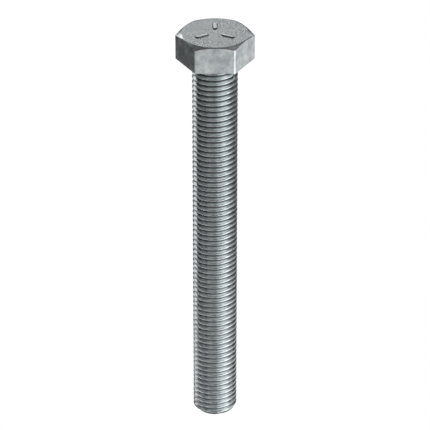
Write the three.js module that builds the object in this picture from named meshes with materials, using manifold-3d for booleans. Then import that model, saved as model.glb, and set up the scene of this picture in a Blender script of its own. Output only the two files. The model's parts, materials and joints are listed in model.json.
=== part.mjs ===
// Hexagon head bolt, M20 x 2.5 coarse thread, 180 mm long, threaded all the way to the head.
//
// Frame: millimetres, +Z up. The origin is the centre of the flat end of the point, and +Z runs
// along the axis towards the head. Two flats of the hexagon face -Y and +Y, and two of its corners
// lie on -X and +X. The thread is right-handed.
//
// A real bolt is forged from one bar. It is given here as its two working regions, which meet face
// to face on one plane where the fillet under the head ends: the head, and the threaded shank.

import * as THREE from "three";
import { mergeVertices } from "three/addons/utils/BufferGeometryUtils.js";
import Module from "manifold-3d";

const wasm = await Module();
wasm.setup();

// Driving dimensions, in millimetres and degrees.
const boltLength = 180; // from the bearing face to the end of the point
const threadDiameter = 20; // over the crests
const threadPitch = 2.5;
const flankAngle = 60; // between the two sides of a groove
const grooveHeight = 1.53; // where the lowest groove crosses the +X side

const pointAngle = 45; // between the point's chamfer and the axis
const pointInset = 0.07; // the flat end's radius is this much less than the thread root's

const filletRadius = 1; // under the head
const neckLength = 0.4; // plain, from the fillet's end to where the thread starts
const crestRunout = 0.8; // length over which the crests reach their full height
const grooveRunout = 1.2; // length over which the grooves reach their full depth

const headAcrossFlats = 30;
const headHeight = 12.5; // from the bearing face to the top face
const washerFaceHeight = 0.2; // the raised round bearing face under the hexagon
const washerFaceInset = 0.9; // from the flats in to the bearing face's edge
const topInset = 0.55; // from the flats in to the top face's round edge
const chamferAngle = 25; // of the corners' chamfer, below the top face

const markCount = 3; // raised bars on the top face, evenly spaced
const markWidth = 1.7;
const markHeight = 0.5;
const markInnerRadius = 3.4;
const markMargin = 4.9; // from the bars' outer ends to the top face's edge
const markFacing = 90; // the first bar points to +Y

// Fineness of the faceted surfaces.
const threadSegments = 16; // per turn
const roundSegments = 48; // round a full circle
const filletSegments = 5;
const mergeDistance = 1e-4;
const overlap = 0.5; // how far joined shapes reach into each other

// Sizes that follow from the ones above.
const radians = THREE.MathUtils.degToRad;
const crestRadius = threadDiameter / 2;
const sharpHeight = threadPitch / 2 / Math.tan(radians(flankAngle / 2)); // of the full V
const rootRadius = crestRadius - (17 / 24) * sharpHeight;
const pitchRadius = crestRadius - (3 / 8) * sharpHeight;
const neckRadius = pitchRadius; // a rolled thread's blank
const crestWidth = threadPitch / 8;
const flankHeight = (crestRadius - rootRadius) * Math.tan(radians(flankAngle / 2));
const rootWidth = threadPitch - crestWidth - 2 * flankHeight;
const jointHeight = boltLength - filletRadius; // the plane where head and shank meet
const threadTop = jointHeight - neckLength;
const washerFaceRadius = headAcrossFlats / 2 - washerFaceInset;
const topRadius = headAcrossFlats / 2 - topInset;
const cornerRadius = headAcrossFlats / 2 / Math.cos(Math.PI / 6);

// A closed three.js geometry as a manifold-3d solid.
function toSolid(geometry) {
  geometry.deleteAttribute("normal");
  geometry.deleteAttribute("uv");
  const merged = mergeVertices(geometry, mergeDistance);
  return new wasm.Manifold(
    new wasm.Mesh({
      numProp: 3,
      vertProperties: merged.attributes.position.array,
      triVerts: new Uint32Array(merged.index.array),
    }),
  );
}

// A named mesh made from a manifold-3d solid.
function toMesh(name, solid, material) {
  const result = solid.getMesh();
  const geometry = new THREE.BufferGeometry();
  geometry.setAttribute("position", new THREE.BufferAttribute(result.vertProperties, 3));
  geometry.setIndex(new THREE.BufferAttribute(result.triVerts, 1));
  geometry.computeVertexNormals();
  const mesh = new THREE.Mesh(geometry, material);
  mesh.name = name;
  return mesh;
}

// The solid swept by an outline of [radius, height] points turned round the Z axis.
// The outline runs from the axis at the bottom, up the outside, to the axis at the top.
function turned(outline) {
  const points = outline.map(([radius, height]) => new THREE.Vector2(radius, height));
  const geometry = new THREE.LatheGeometry(points, roundSegments);
  geometry.rotateX(Math.PI / 2);
  return toSolid(geometry);
}

// A rod whose whole side is thread, from below the point to above the neck.
// Each column of points lies in one half plane through the axis, and each column stands a little
// higher than the one before. After a full turn that makes one pitch, so the last column joins the
// first one a ridge further up, and only column 0 needs a ridge more than the others.
function threadedRod(bottom, top) {
  const ridge = [
    [rootRadius, 0],
    [rootRadius, rootWidth],
    [crestRadius, rootWidth + flankHeight],
    [crestRadius, threadPitch - flankHeight],
  ];
  const rows = Math.ceil((top - bottom) / threadPitch) * ridge.length;
  const positions = [];
  const triangles = [];

  const columnStart = (column) => (column ? column * (rows + 1) + ridge.length : 0);
  const vertex = (column, row) =>
    column === threadSegments ? row + ridge.length : columnStart(column) + row;

  for (let column = 0; column < threadSegments; column += 1) {
    const turn = column / threadSegments;
    const angle = turn * 2 * Math.PI;
    const lastRow = column ? rows : rows + ridge.length;
    for (let row = 0; row <= lastRow; row += 1) {
      const [radius, rise] = ridge[row % ridge.length];
      const ridgesBelow = Math.floor(row / ridge.length);
      const height = bottom + (ridgesBelow + turn) * threadPitch + rise;
      positions.push(radius * Math.cos(angle), radius * Math.sin(angle), height);
    }
  }

  for (let column = 0; column < threadSegments; column += 1) {
    for (let row = 0; row < rows; row += 1) {
      const [a, b] = [vertex(column, row), vertex(column + 1, row)];
      const [c, d] = [vertex(column + 1, row + 1), vertex(column, row + 1)];
      triangles.push(a, b, c, a, c, d);
    }
  }

  // Each end is a fan round a point on the axis. Its rim follows the helix once round, and returns
  // along the step of one ridge in column 0.
  const bottomRim = [];
  const topRim = [];
  for (let row = 0; row <= ridge.length; row += 1) {
    bottomRim.push(vertex(0, row));
    topRim.unshift(vertex(0, rows + row));
  }
  for (let column = 1; column < threadSegments; column += 1) {
    bottomRim.splice(ridge.length + 1, 0, vertex(column, 0));
    topRim.push(vertex(column, rows));
  }
  const ends = [
    [bottomRim, bottom],
    [topRim, bottom + (rows / ridge.length + 1) * threadPitch],
  ];
  for (const [rim, height] of ends) {
    const centre = positions.length / 3;
    positions.push(0, 0, height);
    rim.forEach((start, i) => triangles.push(centre, start, rim[(i + 1) % rim.length]));
  }

  const geometry = new THREE.BufferGeometry();
  geometry.setAttribute("position", new THREE.Float32BufferAttribute(positions, 3));
  geometry.setIndex(triangles);
  return toSolid(geometry);
}

// The shank, up to the plane where it meets the head.
function threadedShank() {
  const pointRadius = rootRadius - pointInset;
  const outerRadius = crestRadius + overlap; // outside the crests, so that it trims only the ends
  const pointHeight = (outerRadius - pointRadius) / Math.tan(radians(pointAngle));
  const crestConeHeight = ((outerRadius - neckRadius) / (crestRadius - neckRadius)) * crestRunout;
  const ends = turned([
    [0, 0],
    [pointRadius, 0],
    [outerRadius, pointHeight],
    [outerRadius, threadTop - crestConeHeight],
    [neckRadius, threadTop],
    [0, threadTop],
  ]);

  // The neck's lower end is a cone that fills the last groove.
  const buriedRadius = rootRadius - overlap;
  const grooveConeHeight = ((neckRadius - buriedRadius) / (neckRadius - rootRadius)) * grooveRunout;
  const neck = turned([
    [0, threadTop - grooveConeHeight],
    [buriedRadius, threadTop - grooveConeHeight],
    [neckRadius, threadTop],
    [neckRadius, jointHeight],
    [0, jointHeight],
  ]);

  // The rod starts with a groove at column 0, two pitches below the lowest groove that is kept.
  const rodBottom = grooveHeight - rootWidth / 2 - 2 * threadPitch;
  const rod = threadedRod(rodBottom, boltLength);
  return rod.intersect(ends).add(neck);
}

// The head, with its own origin on the axis at the height of the bearing face.
function hexHead() {
  const corners = [];
  for (let i = 0; i < 6; i += 1) {
    const angle = (i * Math.PI) / 3;
    corners.push(new THREE.Vector2(cornerRadius * Math.cos(angle), cornerRadius * Math.sin(angle)));
  }
  const prism = new THREE.ExtrudeGeometry(new THREE.Shape(corners), {
    depth: headHeight - washerFaceHeight,
    bevelEnabled: false,
  });
  prism.translate(0, 0, washerFaceHeight);

  // Turning the forged prism to this outline chamfers its six top corners.
  const outerRadius = cornerRadius + overlap;
  const chamferDrop = (outerRadius - topRadius) * Math.tan(radians(chamferAngle));
  const chamfer = turned([
    [0, 0],
    [outerRadius, 0],
    [outerRadius, headHeight - chamferDrop],
    [topRadius, headHeight],
    [0, headHeight],
  ]);

  // The bearing face, the fillet under it and the start of the neck.
  const outline = [[0, -filletRadius]];
  for (let i = 0; i <= filletSegments; i += 1) {
    const angle = ((i / filletSegments) * Math.PI) / 2;
    outline.push([
      neckRadius + filletRadius * (1 - Math.cos(angle)),
      filletRadius * (Math.sin(angle) - 1),
    ]);
  }
  outline.push([washerFaceRadius, 0]);
  outline.push([washerFaceRadius, washerFaceHeight + overlap]);
  outline.push([0, washerFaceHeight + overlap]);

  const head = toSolid(prism).intersect(chamfer).add(turned(outline));
  return gradeMarks().reduce((sum, mark) => sum.add(mark), head);
}

// Raised bars on the top face, like the strokes of a clock face, each with round ends.
function gradeMarks() {
  const outerRadius = topRadius - markMargin;
  const halfWidth = markWidth / 2;
  const bar = new THREE.Shape();
  bar.absarc(outerRadius - halfWidth, 0, halfWidth, -Math.PI / 2, Math.PI / 2);
  bar.absarc(markInnerRadius + halfWidth, 0, halfWidth, Math.PI / 2, (3 * Math.PI) / 2);
  const marks = [];
  for (let i = 0; i < markCount; i += 1) {
    const geometry = new THREE.ExtrudeGeometry(bar, {
      depth: markHeight + overlap,
      bevelEnabled: false,
      curveSegments: 8,
    });
    geometry.rotateZ(radians(markFacing + (i * 360) / markCount));
    geometry.translate(0, 0, headHeight - overlap);
    marks.push(toSolid(geometry));
  }
  return marks;
}

// Bright zinc-plated steel. The thread's rolled surface is a little smoother than the forged head.
const forgedZinc = new THREE.MeshStandardMaterial({
  color: 0x9ea5a6,
  metalness: 0.9,
  roughness: 0.42,
  flatShading: true,
});
const rolledZinc = new THREE.MeshStandardMaterial({
  color: 0xa2a9ab,
  metalness: 0.95,
  roughness: 0.34,
  flatShading: true,
});

const hexBolt = new THREE.Group();
hexBolt.name = "hex_bolt";

const head = toMesh("hex_head", hexHead(), forgedZinc);
head.position.z = boltLength;
hexBolt.add(head);

const shank = toMesh("threaded_shank", threadedShank(), rolledZinc);
hexBolt.add(shank);

export default hexBolt;
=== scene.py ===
import json
import math

import bpy
import numpy as np
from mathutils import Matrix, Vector

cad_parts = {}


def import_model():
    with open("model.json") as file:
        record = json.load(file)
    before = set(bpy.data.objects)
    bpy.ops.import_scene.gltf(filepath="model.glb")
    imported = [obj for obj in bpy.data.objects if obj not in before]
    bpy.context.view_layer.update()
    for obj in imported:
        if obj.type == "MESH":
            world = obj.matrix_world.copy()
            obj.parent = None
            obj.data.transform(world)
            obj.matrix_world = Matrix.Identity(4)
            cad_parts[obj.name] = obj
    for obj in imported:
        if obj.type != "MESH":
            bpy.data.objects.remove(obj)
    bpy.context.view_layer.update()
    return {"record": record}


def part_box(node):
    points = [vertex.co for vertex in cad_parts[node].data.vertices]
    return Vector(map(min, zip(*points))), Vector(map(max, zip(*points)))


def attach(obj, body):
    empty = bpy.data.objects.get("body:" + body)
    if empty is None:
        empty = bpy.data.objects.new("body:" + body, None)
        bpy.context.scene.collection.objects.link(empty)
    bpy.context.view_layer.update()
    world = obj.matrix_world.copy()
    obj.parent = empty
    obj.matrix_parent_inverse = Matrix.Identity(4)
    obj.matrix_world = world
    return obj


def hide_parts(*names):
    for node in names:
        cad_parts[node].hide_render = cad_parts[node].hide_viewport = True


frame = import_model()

# ---------------------------------------------------------------- sizes, in millimetres and degrees

MM = 0.001
mounts = {mount["name"]: mount for mount in frame["record"]["mounts"]}
head_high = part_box("hex_head")[1]
shank_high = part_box("threaded_shank")[1]

JOINT_Z = shank_high.z / MM  # the plane where head and shank meet, under the fillet
BEARING_Z = mounts["bearing_face"]["pos_m"][2] / MM
TOP_Z = mounts["head_top"]["pos_m"][2] / MM
HALF_FLATS = head_high.y / MM  # from the axis to a flat of the hexagon
MARK_HEIGHT = head_high.z / MM - TOP_Z
CREST_RADIUS = shank_high.x / MM

# The thread: the ISO metric profile, with its root rounded and its crests a little.
PITCH = 2.5
SHARP_HEIGHT = PITCH * math.sqrt(3) / 2  # of the full 60 degree V
ROOT_RADIUS = CREST_RADIUS - SHARP_HEIGHT * 17 / 24
ROOT_ROUND = SHARP_HEIGHT / 6
CREST_ROUND = 0.1
FLANK = math.tan(math.radians(30))  # axial run of a flank over its radial rise
FLANK_TURN = math.radians(60)  # from a root or crest to a flank
GROOVE_Z = 1.53  # where the lowest groove crosses the +X side, as in the CAD thread

# Places in the profile, measured along the axis from the middle of a groove.
ROOT_END = ROOT_ROUND * math.sin(FLANK_TURN)
CREST_START = PITCH / 2 - PITCH / 16 + CREST_ROUND * FLANK
FLANK_END = CREST_START - CREST_ROUND * math.sin(FLANK_TURN)

# The two ends of the shank.
NECK_RADIUS = CREST_RADIUS - SHARP_HEIGHT * 3 / 8  # the thread's pitch radius
NECK_LENGTH = 0.4
RUNOUT_LENGTH = 1.1
POINT_RADIUS = ROOT_RADIUS - 0.07
POINT_ROUND = 0.12
RIM_RADIUS = POINT_RADIUS - POINT_ROUND / 4  # a hair inside the chamfer, to soften the rim
CUP_RADIUS = 6.2  # the shallow cup that thread rolling leaves in the end of the bar
CUP_DEPTH = 0.35
CUP_MIDDLE = 0.5  # radius of the cup's flat middle
LAND_EDGE = 0.3  # from the point's rim, and from the cup, to the rings between them

# The head.
WASHER_HEIGHT = 0.2
WASHER_RADIUS = HALF_FLATS - 0.9
WASHER_ROUND = 0.06
TOP_RADIUS = HALF_FLATS - 0.55
TOP_ROUND = 0.5
TOP_DISH = 0.05  # how far the middle of the top face lies below its edge
CHAMFER = math.tan(math.radians(25))  # fall of the corner chamfer over its radial run
SIXTH = math.pi / 3
CORNER_ROUND = 1.1  # of the six vertical edges
CORNER_CENTRE = (HALF_FLATS - CORNER_ROUND) / math.cos(SIXTH / 2)  # from the axis
CORNER_ANGLE = math.atan2(  # from a corner to where its rounding meets a flat
    CORNER_ROUND * math.sin(SIXTH / 2), CORNER_CENTRE + CORNER_ROUND * math.cos(SIXTH / 2)
)
LOWER_ROUND = 0.2
UPPER_ROUND = 0.2

# The raised marks.
MARK_COUNT = 3
MARK_FACING = 90
MARK_HALF_WIDTH = 0.85
MARK_INNER = 3.4
MARK_OUTER = TOP_RADIUS - 4.9
MARK_FOOT = 0.35  # how far a mark's side slopes out beyond its outline
MARK_BROW = 0.25  # and in from it

# How fine the meshes are.
SHARP_EDGE = 40  # a sharper turn than this is not shaded smooth
THREAD_SEGMENTS = 72  # per turn
FLANK_ROWS = 3
CUP_RINGS = 14
SECTOR_SEGMENTS = 64  # per sixth of the head
CORNER_POINTS = 13  # of those
TOP_RINGS = 96


# ---------------------------------------------------------------- meshes


def make_piece(name, points, faces, material, node):
    """A smooth mesh object from points in millimetres, standing for a CAD node."""
    mesh = bpy.data.meshes.new(name)
    mesh.from_pydata([tuple(point) for point in points * MM], [], faces)
    mesh.validate()
    mesh.polygons.foreach_set("use_smooth", [True] * len(mesh.polygons))
    mesh.set_sharp_from_angle(angle=math.radians(SHARP_EDGE))
    mesh.materials.append(material)
    piece = bpy.data.objects.new(name, mesh)
    bpy.context.scene.collection.objects.link(piece)
    weighted = piece.modifiers.new("weighted_normals", "WEIGHTED_NORMAL")
    weighted.keep_sharp = True
    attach(piece, "root")
    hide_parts(node)
    return piece


def smooth_step(low, high, value):
    """0 at low, 1 at high, and a soft slope between them."""
    share = np.clip((value - low) / (high - low), 0, 1)
    return share * share * (3 - 2 * share)


def smooth_min(a, b, width):
    """The smaller of a and b, with the corner between them rounded."""
    share = np.clip(0.5 + 0.5 * (b - a) / width, 0, 1)
    return b + (a - b) * share - width * share * (1 - share)


# ---------------------------------------------------------------- the threaded shank


def thread_radius(height):
    """Radius of the endless thread at a height above the middle of a groove."""
    along = height % PITCH
    along = np.minimum(along, PITCH - along)
    root = ROOT_RADIUS + ROOT_ROUND - np.sqrt(np.maximum(ROOT_ROUND**2 - along**2, 0))
    flank = ROOT_RADIUS + ROOT_ROUND / 2 + (along - ROOT_END) / FLANK
    short = np.minimum(CREST_START - along, CREST_ROUND)
    crest = CREST_RADIUS - CREST_ROUND + np.sqrt(np.maximum(CREST_ROUND**2 - short**2, 0))
    radius = np.where(along < ROOT_END, root, flank)
    radius = np.where(along > FLANK_END, crest, radius)
    return np.where(along > CREST_START, CREST_RADIUS, radius)


def ridge_rows():
    """Heights of the mesh rows over one ridge, from a groove's middle to just before the next."""
    root = [ROOT_ROUND * math.sin(FLANK_TURN * share) for share in (0, 0.5)]
    flank = list(np.linspace(ROOT_END, FLANK_END, FLANK_ROWS, endpoint=False))
    crest = [CREST_START - CREST_ROUND * math.sin(FLANK_TURN * share) for share in (1, 0.5, 0)]
    half = root + flank + crest
    return half + [PITCH - height for height in reversed(half[1:])]


def shank_radius(rise, height):
    """Radius of the shank: the thread that rise gives, its run-out and its chamfered point."""
    thread_top = JOINT_Z - NECK_LENGTH
    fade = smooth_step(thread_top - RUNOUT_LENGTH, thread_top, height)
    radius = thread_radius(rise)
    radius = radius + (NECK_RADIUS - radius) * fade
    radius = smooth_min(radius, POINT_RADIUS + height, POINT_ROUND)
    radius = np.where(height <= 0, RIM_RADIUS, radius)
    return np.where(height >= JOINT_Z, NECK_RADIUS, radius)


def helix_faces(number, per_ridge):
    """Faces between the rows and columns of point numbers, without those cut off at the ends.

    The last column joins the first one a ridge further up, which makes the helix.
    """
    rows, columns = number.shape
    faces = []
    for column in range(columns):
        shift = per_ridge if column == columns - 1 else 0
        beside = (column + 1) % columns
        for i in range(rows - per_ridge - 1):
            corners = [
                number[i, column],
                number[i + shift, beside],
                number[i + 1 + shift, beside],
                number[i + 1, column],
            ]
            corners = [int(c) for c, d in zip(corners, corners[1:] + corners[:1]) if c != d]
            if len(corners) > 2:
                faces.append(corners)
    return faces


def cupped_end(rim, first, angles):
    """Points and faces of the point's end inside its rim, numbered from first."""
    rings = [POINT_RADIUS - LAND_EDGE, CUP_RADIUS + LAND_EDGE]
    rings.extend(np.linspace(CUP_RADIUS, CUP_MIDDLE, CUP_RINGS))
    points, faces = [], []
    for ring in rings:
        share = max(0.0, 1 - (ring / CUP_RADIUS) ** 2)
        level = CUP_DEPTH * share * share
        inner = [first + len(points) + i for i in range(len(angles))]
        points.extend((ring * math.cos(a), ring * math.sin(a), level) for a in angles)
        for i in range(len(angles)):
            j = (i + 1) % len(angles)
            faces.append([rim[j], rim[i], inner[i], inner[j]])
        rim = inner
    faces.append(rim[::-1])
    return points, faces


def threaded_shank():
    """The helical thread with its chamfered point, its run-out and the neck under the head."""
    ridge = ridge_rows()
    start = GROOVE_Z - 2 * PITCH  # low enough for the rows to begin under the point all round
    ridges = math.ceil((JOINT_Z - start) / PITCH) + 2
    rise = np.array([i * PITCH + height for i in range(ridges) for height in ridge])[:, None]
    turn = np.arange(THREAD_SEGMENTS)[None, :] / THREAD_SEGMENTS
    angle = turn * 2 * math.pi
    endless = start + rise + turn * PITCH
    height = np.clip(endless, 0, JOINT_Z)
    radius = shank_radius(rise, height)

    # Rows below the point or above the joint fall on one rim, so each column keeps one of them.
    first = (endless <= 0).sum(axis=0) - 1
    last = (endless < JOINT_Z).sum(axis=0)
    kept = np.clip(np.arange(len(rise))[:, None], first, last)
    number = kept * THREAD_SEGMENTS + np.arange(THREAD_SEGMENTS)
    used, number = np.unique(number, return_inverse=True)
    number = number.reshape(height.shape)
    grid = np.stack([radius * np.cos(angle), radius * np.sin(angle), height], axis=2)
    points = grid.reshape(-1, 3)[used]

    faces = helix_faces(number, len(ridge))
    faces.append(number[-1].tolist())
    end_points, end_faces = cupped_end(number[0].tolist(), len(points), angle[0])
    return np.concatenate([points, end_points]), faces + end_faces


# ---------------------------------------------------------------- the head


def hexagon_radius(angle):
    """Distance from the axis to the hexagon with rounded corners, one of them at angle 0."""
    off_corner = (angle + SIXTH / 2) % SIXTH - SIXTH / 2
    if abs(off_corner) < CORNER_ANGLE:
        across = CORNER_CENTRE * math.sin(off_corner)
        return CORNER_CENTRE * math.cos(off_corner) + math.sqrt(CORNER_ROUND**2 - across**2)
    return HALF_FLATS / math.cos(SIXTH / 2 - abs(off_corner))


def head_angles():
    """Directions of the mesh columns, which are close together at the corners."""
    corner = np.linspace(-CORNER_ANGLE, CORNER_ANGLE, CORNER_POINTS)
    flat_points = SECTOR_SEGMENTS - CORNER_POINTS
    flat = np.linspace(CORNER_ANGLE, SIXTH - CORNER_ANGLE, flat_points + 2)[1:-1]
    sector = np.concatenate([corner, flat])
    return np.concatenate([sector + i * SIXTH for i in range(6)])


def rounded_outline(corners):
    """An outline through corners of (radius, height, rounding, steps), each rounded by an arc."""
    made = []
    for i, (radius, height, rounding, steps) in enumerate(corners):
        here = Vector((radius, height))
        if not steps:
            made.append(tuple(here))
            continue
        before = (Vector(corners[i - 1][:2]) - here).normalized()
        after = (Vector(corners[i + 1][:2]) - here).normalized()
        half = before.angle(after) / 2
        centre = here + (before + after).normalized() * (rounding / math.sin(half))
        start = here + before * (rounding / math.tan(half)) - centre
        end = here + after * (rounding / math.tan(half)) - centre
        sweep = start.angle_signed(end)
        for step in range(steps + 1):
            turn = -sweep * step / steps
            x = start.x * math.cos(turn) - start.y * math.sin(turn)
            y = start.x * math.sin(turn) + start.y * math.cos(turn)
            made.append((centre.x + x, centre.y + y))
    return made


def head_outline(angle):
    """The head's outline in one direction, from the neck to the edge of the top face."""
    reach = hexagon_radius(angle)
    chamfer_z = TOP_Z - (reach - TOP_RADIUS) * CHAMFER
    hexagon_z = BEARING_Z + WASHER_HEIGHT
    corners = [
        (NECK_RADIUS, JOINT_Z, 0, 0),
        (NECK_RADIUS, BEARING_Z, BEARING_Z - JOINT_Z, 8),
        (WASHER_RADIUS, BEARING_Z, WASHER_ROUND, 3),
        (WASHER_RADIUS, hexagon_z, WASHER_ROUND, 3),
        (reach, hexagon_z, LOWER_ROUND, 6),
        (reach, chamfer_z, UPPER_ROUND, 6),
        (TOP_RADIUS, TOP_Z, TOP_ROUND, 5),
        (0, TOP_Z, 0, 0),
    ]
    return rounded_outline(corners)[:-1]


def mark_relief(x, y):
    """Height of the raised marks over the top face: radial bars with round ends."""
    relief = np.zeros_like(x)
    for i in range(MARK_COUNT):
        facing = math.radians(MARK_FACING + 360 * i / MARK_COUNT)
        along = x * math.cos(facing) + y * math.sin(facing)
        across = -x * math.sin(facing) + y * math.cos(facing)
        nearest = np.clip(along, MARK_INNER + MARK_HALF_WIDTH, MARK_OUTER - MARK_HALF_WIDTH)
        distance = np.hypot(along - nearest, across) - MARK_HALF_WIDTH
        relief = np.maximum(relief, smooth_step(MARK_FOOT, -MARK_BROW, distance))
    return MARK_HEIGHT * relief


def hex_head():
    """The head with its washer face, fillet, corner chamfer and raised marks."""
    angles = head_angles()
    outlines = np.array([head_outline(angle) for angle in angles])
    radius, height = outlines[:, :, 0], outlines[:, :, 1]

    # The top face goes on from the outline's last row in rings, down to a point in the middle.
    shares = np.linspace(1, 0, TOP_RINGS + 1)[1:-1]
    edge = radius[:, -1:]
    ring = edge * shares[None, :]
    turn_x, turn_y = np.cos(angles)[:, None], np.sin(angles)[:, None]
    dish = TOP_DISH * (1 - smooth_step(0, edge.min(), ring))
    ring_height = TOP_Z + mark_relief(ring * turn_x, ring * turn_y) - dish
    radius = np.concatenate([radius, ring], axis=1)
    height = np.concatenate([height, ring_height], axis=1)
    grid = np.stack([radius * turn_x, radius * turn_y, height], axis=2).reshape(-1, 3)
    middle = len(grid)
    points = np.concatenate([grid, [(0, 0, TOP_Z - TOP_DISH)]])

    columns, rows = radius.shape
    faces = []
    for column in range(columns):
        beside = (column + 1) % columns
        for row in range(rows - 1):
            a, b = column * rows + row, beside * rows + row
            faces.append([a, b, b + 1, a + 1])
        faces.append([column * rows + rows - 1, beside * rows + rows - 1, middle])
    faces.append([column * rows for column in reversed(range(columns))])
    return points, faces


# ---------------------------------------------------------------- zinc

ZINC_BRIGHT = (0.79, 0.84, 0.85)
ZINC_DULL = (0.43, 0.47, 0.485)
ZINC_PITTED = (0.36, 0.385, 0.395)  # in the pits of the top face
ZINC_ROOT_SHADE_NEAR_POINT = (0.4, 0.425, 0.43)  # painted shade in the thread's roots near the point
ZINC_ROOT_SHADE_NEAR_HEAD = (0.23, 0.245, 0.25)  # and darker painted shade in them near the head
ZINC_MARK_SHADE = (0.03, 0.031, 0.033)  # painted shade on the sides of the marks
ZINC_MARK_HIGHLIGHT = (0.95, 0.97, 0.98)  # painted highlight on their tops

# How large the detail is along x, y and z, and how deep, in millimetres.
PIT_SIZE = (0.5, 0.5, 0.5)
PIT_DEPTH = 0.2
HEAD_CLOUD_SIZE = (4.4, 4.4, 5)
HEAD_CLOUD_DEPTH = 0.012
TRIM_LINE_SIZE = (0.5, 0.5, 9)
TRIM_LINE_DEPTH = 0.002
SHANK_CLOUD_SIZE = (2.5, 2.5, 1.5)
SHANK_CLOUD_DEPTH = 0.008
ROLL_LINE_SIZE = (5, 5, 0.16)
ROLL_LINE_DEPTH = 0.01

# Ranges, each with the value where a change begins and the value where it is complete.
NOISE_MIDDLE = (0.35, 0.65)  # where most of a noise lies
HEAD_CLOUDS = (0.42, 0.78)
SHANK_CLOUDS = (0.1, 0.9)
PITS = (0.4, 0.56)
UPWARD = (0.93, 0.99)  # z of the normal, between the chamfer's and the top face's
PITTING = (0.05, 1)  # how pitted the surface is at either end of that
HEAD_ROUGHNESS = (0.23, 0.28)
SHANK_ROUGHNESS = (0.17, 0.24)
# Heights above the top face where the painted shade on the marks' sides begins, and where it gives
# way to the painted highlight on their tops.
MARK_SHADE_START = (TOP_Z + 0.005, TOP_Z + 0.04)
MARK_SHADE_TO_HIGHLIGHT = (TOP_Z + 0.34, TOP_Z + 0.46)
# Distances from the axis over which the roots' painted shade gives way to the crests' colour.
ROOT_TO_CREST = (ROOT_RADIUS, ROOT_RADIUS + 0.9)
POINT_TO_HEAD = (60, 160)  # heights between which the painted shade in the roots grows darker
PITS_IN_CLOUDS = 0.2


def new_material(name):
    """A metal, with the place on the object in metres to build its detail on."""
    material = bpy.data.materials.new(name)
    material.use_nodes = True
    tree = material.node_tree
    tree.nodes["Principled BSDF"].inputs["Metallic"].default_value = 1
    return material, tree, tree.nodes.new("ShaderNodeTexCoord").outputs["Object"]


def noise(tree, place, size, detail=2):
    """Noise from 0 to 1 whose features are size millimetres across, along x, y and z."""
    mapping = tree.nodes.new("ShaderNodeMapping")
    mapping.inputs["Scale"].default_value = [1 / (side * MM) for side in size]
    tree.links.new(place, mapping.inputs["Vector"])
    texture = tree.nodes.new("ShaderNodeTexNoise")
    texture.inputs["Scale"].default_value = 1
    texture.inputs["Detail"].default_value = detail
    tree.links.new(mapping.outputs["Vector"], texture.inputs["Vector"])
    return texture.outputs["Fac"]


def height_of(tree, vector):
    """The z part of a vector."""
    node = tree.nodes.new("ShaderNodeSeparateXYZ")
    tree.links.new(vector, node.inputs["Vector"])
    return node.outputs["Z"]


def distance_from_axis(tree, place):
    """How far a place is from the bolt's axis."""
    across = tree.nodes.new("ShaderNodeVectorMath")
    across.operation = "MULTIPLY"
    across.inputs[1].default_value = (1, 1, 0)
    tree.links.new(place, across.inputs[0])
    length = tree.nodes.new("ShaderNodeVectorMath")
    length.operation = "LENGTH"
    tree.links.new(across.outputs["Vector"], length.inputs[0])
    return length.outputs["Value"]


def spread(tree, value, source, target=(0, 1)):
    """The value, carried over from the range source to the range target."""
    node = tree.nodes.new("ShaderNodeMapRange")
    for name, number in zip(("From Min", "From Max", "To Min", "To Max"), (*source, *target)):
        node.inputs[name].default_value = number
    tree.links.new(value, node.inputs["Value"])
    return node.outputs["Result"]


def spread_mm(tree, length, source):
    """0 to 1 for a length in metres, over the range source in millimetres."""
    return spread(tree, length, [side * MM for side in source])


def combine(tree, operation, a, b):
    """A math operation on two values, the second of which may be a number."""
    node = tree.nodes.new("ShaderNodeMath")
    node.operation = operation
    tree.links.new(a, node.inputs[0])
    if isinstance(b, float):
        node.inputs[1].default_value = b
    else:
        tree.links.new(b, node.inputs[1])
    return node.outputs["Value"]


def tint(tree, share, dull, bright):
    """A colour between dull and bright, each of which is a colour or a node's output."""
    node = tree.nodes.new("ShaderNodeMix")
    node.data_type = "RGBA"
    tree.links.new(share, node.inputs[0])
    for end, colour in ((node.inputs[6], dull), (node.inputs[7], bright)):
        if isinstance(colour, tuple):
            end.default_value = (*colour, 1)
        else:
            tree.links.new(colour, end)
    return node.outputs[2]


def bump(tree, height, depth, strength=None, normal=None):
    """Relief of a depth in millimetres, over whatever relief it is added to."""
    node = tree.nodes.new("ShaderNodeBump")
    node.inputs["Distance"].default_value = depth * MM
    node.inputs["Strength"].default_value = 1
    tree.links.new(height, node.inputs["Height"])
    if strength is not None:
        tree.links.new(strength, node.inputs["Strength"])
    if normal is not None:
        tree.links.new(normal, node.inputs["Normal"])
    return node.outputs["Normal"]


def finish_shader(tree, colour, roughness, normal):
    """The metal's colour, roughness and normal, linked to its shader."""
    shader = tree.nodes["Principled BSDF"]
    tree.links.new(colour, shader.inputs["Base Color"])
    tree.links.new(roughness, shader.inputs["Roughness"])
    tree.links.new(normal, shader.inputs["Normal"])


def with_marks(tree, place, colour):
    """The colour of the head, with painted shade on the sides of the marks and a painted highlight
    on their tops.
    """
    height = height_of(tree, place)
    # Painted shade on the marks' sides, up to where the painted highlight on their tops takes over.
    started = spread_mm(tree, height, MARK_SHADE_START)
    ended = spread_mm(tree, height, MARK_SHADE_TO_HIGHLIGHT)
    painted_shade = combine(tree, "SUBTRACT", started, ended)
    # A painted highlight on the marks' tops.
    painted_highlight = tint(tree, ended, colour, ZINC_MARK_HIGHLIGHT)
    return tint(tree, painted_shade, painted_highlight, ZINC_MARK_SHADE)


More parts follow.
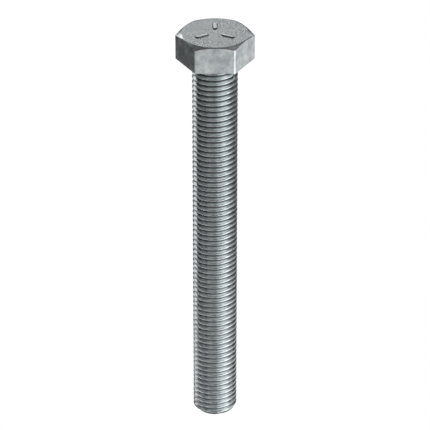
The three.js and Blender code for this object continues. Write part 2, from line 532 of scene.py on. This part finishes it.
def forged_zinc():
    """Zinc over a cold-forged head: a pitted top, and flats with clouds and faint lines."""
    material, tree, place = new_material("forged_zinc")
    pits = noise(tree, place, PIT_SIZE)
    clouds = noise(tree, place, HEAD_CLOUD_SIZE)
    lines = noise(tree, place, TRIM_LINE_SIZE)
    geometry = tree.nodes.new("ShaderNodeNewGeometry")
    on_top = spread(tree, height_of(tree, geometry.outputs["Normal"]), UPWARD, PITTING)

    both = combine(tree, "ADD", clouds, combine(tree, "MULTIPLY", pits, PITS_IN_CLOUDS))
    clouded = tint(tree, spread(tree, both, HEAD_CLOUDS), ZINC_DULL, ZINC_BRIGHT)
    pitted = tint(tree, spread(tree, pits, PITS), ZINC_PITTED, ZINC_BRIGHT)
    colour = with_marks(tree, place, tint(tree, on_top, clouded, pitted))
    roughness = spread(tree, clouds, NOISE_MIDDLE, HEAD_ROUGHNESS)
    normal = bump(tree, clouds, HEAD_CLOUD_DEPTH)
    normal = bump(tree, lines, TRIM_LINE_DEPTH, normal=normal)
    normal = bump(tree, pits, PIT_DEPTH, strength=on_top, normal=normal)
    finish_shader(tree, colour, roughness, normal)
    return material


def rolled_zinc():
    """Zinc over a rolled thread: bright crests, painted shade in the roots that deepens towards the
    head, and fine lines along the turns.
    """
    material, tree, place = new_material("rolled_zinc")
    lines = noise(tree, place, ROLL_LINE_SIZE)
    clouds = noise(tree, place, SHANK_CLOUD_SIZE, detail=3)
    root_shade_towards_head = spread_mm(tree, height_of(tree, place), POINT_TO_HEAD)
    out_of_root_shade = spread_mm(tree, distance_from_axis(tree, place), ROOT_TO_CREST)

    plated = tint(tree, spread(tree, clouds, SHANK_CLOUDS), ZINC_DULL, ZINC_BRIGHT)
    # The roots are painted darker as shade, more so towards the head.
    colour = tint(tree, out_of_root_shade, tint(tree, root_shade_towards_head, ZINC_ROOT_SHADE_NEAR_POINT, ZINC_ROOT_SHADE_NEAR_HEAD), plated)
    roughness = spread(tree, clouds, NOISE_MIDDLE, SHANK_ROUGHNESS)
    normal = bump(tree, lines, ROLL_LINE_DEPTH)
    normal = bump(tree, clouds, SHANK_CLOUD_DEPTH, normal=normal)
    finish_shader(tree, colour, roughness, normal)
    return material


# ---------------------------------------------------------------- stage, light and camera, in metres

FLOOR_HALF = 4  # of its side
FLOOR_COLOUR = (0.1, 0.1, 0.1, 1)
FLOOR_GLOW = 0.97
WORLD_LIGHT = 0.08  # of the backdrop, as the bolt sees it
WHITE = (1, 1, 1, 1)

SOFTBOX_TARGET = Vector((0, 0, 0.102))
SOFTBOX_DISTANCE = 1.4
# Name, azimuth, elevation, width and height in degrees, and brightness.
SOFTBOXES = (
    ("key", 318, 53, 56, 32, 1.3),
    ("right_top", 8, 52, 34, 32, 0.48),
    ("low_right", 321, -34, 36, 50, 1.72),
    ("right_mid", 353, -32, 28, 40, 1.15),
    ("low_front", 291, -30, 15, 34, 1.15),
    ("right_low", 32, -26, 26, 30, 0.7),
    ("low_back", 108, -40, 38, 34, 1.1),
    ("right_back", 58, -5, 26, 34, 0.68),
    ("right_under", 58, -34, 26, 20, 0.35),
    ("left_back", 124, 27, 20, 18, 1.1),
    ("left_top", 148, 44, 32, 26, 0.22),
    ("back", 90, 34, 50, 24, 0.93),
    ("top_left", 225, 60, 50, 18, 0.6),
    ("front", 254, -28, 56, 32, 0.57),
    ("left_low", 198, -30, 32, 30, 0.36),
    ("left_fill", 156, -28, 36, 40, 0.035),
    ("low_side", 0, -64, 50, 30, 0.8),
    ("left_deep", 165, -62, 50, 24, 0.6),
    ("under_back", 90, -58, 40, 16, 1.3),
)

CARD_Z = -0.02
# Name, x and y, side, and brightness.
CARDS = (
    ("right_card", (0.1, 0.03), 0.14, 1.1),
    ("foot_card", (-0.07, 0.012), 0.07, 1.5),
    ("left_card", (-0.06, 0.1), 0.1, 1.4),
)

CAMERA_TARGET = Vector((0, 0, 0.10194))
CAMERA_AZIMUTH = 270
CAMERA_ELEVATION = 29.93
CAMERA_DISTANCE = 1.1796
CAMERA_LENS = 220.5  # in millimetres, like the sensor
CAMERA_SENSOR = 36
CAMERA_CLIP = (0.05, 20)


def direction(azimuth, elevation):
    """The unit vector at an azimuth from +X and an elevation, in degrees."""
    around, up = math.radians(azimuth), math.radians(elevation)
    return Vector((math.cos(up) * math.cos(around), math.cos(up) * math.sin(around), math.sin(up)))


def floor():
    """A white floor, which glows so that it has no horizon against the backdrop."""
    mesh = bpy.data.meshes.new("floor")
    half = FLOOR_HALF
    corners = [(-half, -half, 0), (half, -half, 0), (half, half, 0), (-half, half, 0)]
    mesh.from_pydata(corners, [], [(0, 1, 2, 3)])
    plane = bpy.data.objects.new("floor", mesh)
    bpy.context.scene.collection.objects.link(plane)
    material = bpy.data.materials.new("pale_floor")
    material.use_nodes = True
    shader = material.node_tree.nodes["Principled BSDF"]
    shader.inputs["Base Color"].default_value = FLOOR_COLOUR
    shader.inputs["Roughness"].default_value = 1
    shader.inputs["Specular IOR Level"].default_value = 0
    shader.inputs["Emission Color"].default_value = WHITE
    shader.inputs["Emission Strength"].default_value = FLOOR_GLOW
    mesh.materials.append(material)
    plane.visible_glossy = False
    plane.visible_diffuse = False
    plane.visible_shadow = False


def area_light(name, place, facing, width, height, brightness):
    """A plain soft light with an even brightness, which the camera doesn't see."""
    data = bpy.data.lights.new(name, "AREA")
    data.shape = "RECTANGLE"
    data.size = width
    data.size_y = height
    data.energy = brightness * math.pi * width * height
    lamp = bpy.data.objects.new(name, data)
    bpy.context.scene.collection.objects.link(lamp)
    lamp.location = place
    lamp.rotation_euler = (-facing).to_track_quat("Z", "Y").to_euler()
    lamp.visible_camera = False


def softbox(name, azimuth, elevation, width, height, brightness):
    """A soft light that faces the bolt, its width and height in degrees as the bolt sees them."""
    away = direction(azimuth, elevation) * SOFTBOX_DISTANCE
    across = 2 * SOFTBOX_DISTANCE * math.tan(math.radians(width / 2))
    along = 2 * SOFTBOX_DISTANCE * math.tan(math.radians(height / 2))
    area_light(name, SOFTBOX_TARGET + away, -away, across, along, brightness)


def card(name, place, side, brightness):
    """Light that a white table sends up from beside the bolt's foot."""
    below = Vector((*place, CARD_Z))
    area_light(name, below, Vector((0, 0, 1)), side, side, brightness)


def world():
    """White where the camera sees it, and dim for the light it gives."""
    made = bpy.data.worlds.new("studio")
    made.use_nodes = True
    tree = made.node_tree
    rays = tree.nodes.new("ShaderNodeLightPath")
    shade = tree.nodes.new("ShaderNodeMapRange")
    shade.inputs["To Min"].default_value = WORLD_LIGHT
    shade.inputs["To Max"].default_value = 1
    tree.links.new(rays.outputs["Is Camera Ray"], shade.inputs["Value"])
    tree.links.new(shade.outputs["Result"], tree.nodes["Background"].inputs["Strength"])
    tree.nodes["Background"].inputs["Color"].default_value = WHITE
    bpy.context.scene.world = made


def camera():
    """The camera, which looks down at the bolt from its front."""
    data = bpy.data.cameras.new("camera")
    data.sensor_width = CAMERA_SENSOR
    data.lens = CAMERA_LENS
    data.clip_start, data.clip_end = CAMERA_CLIP
    view = bpy.data.objects.new("camera", data)
    bpy.context.scene.collection.objects.link(view)
    away = direction(CAMERA_AZIMUTH, CAMERA_ELEVATION)
    view.location = CAMERA_TARGET + away * CAMERA_DISTANCE
    view.rotation_euler = away.to_track_quat("Z", "Y").to_euler()
    bpy.context.scene.camera = view


# ---------------------------------------------------------------- the scene

bpy.context.scene.view_settings.view_transform = "Standard"

head = make_piece("forged_head", *hex_head(), forged_zinc(), "hex_head")
shank = make_piece("rolled_shank", *threaded_shank(), rolled_zinc(), "threaded_shank")

floor()
world()
camera()
for box in SOFTBOXES:
    softbox(*box)
for sheet in CARDS:
    card(*sheet)
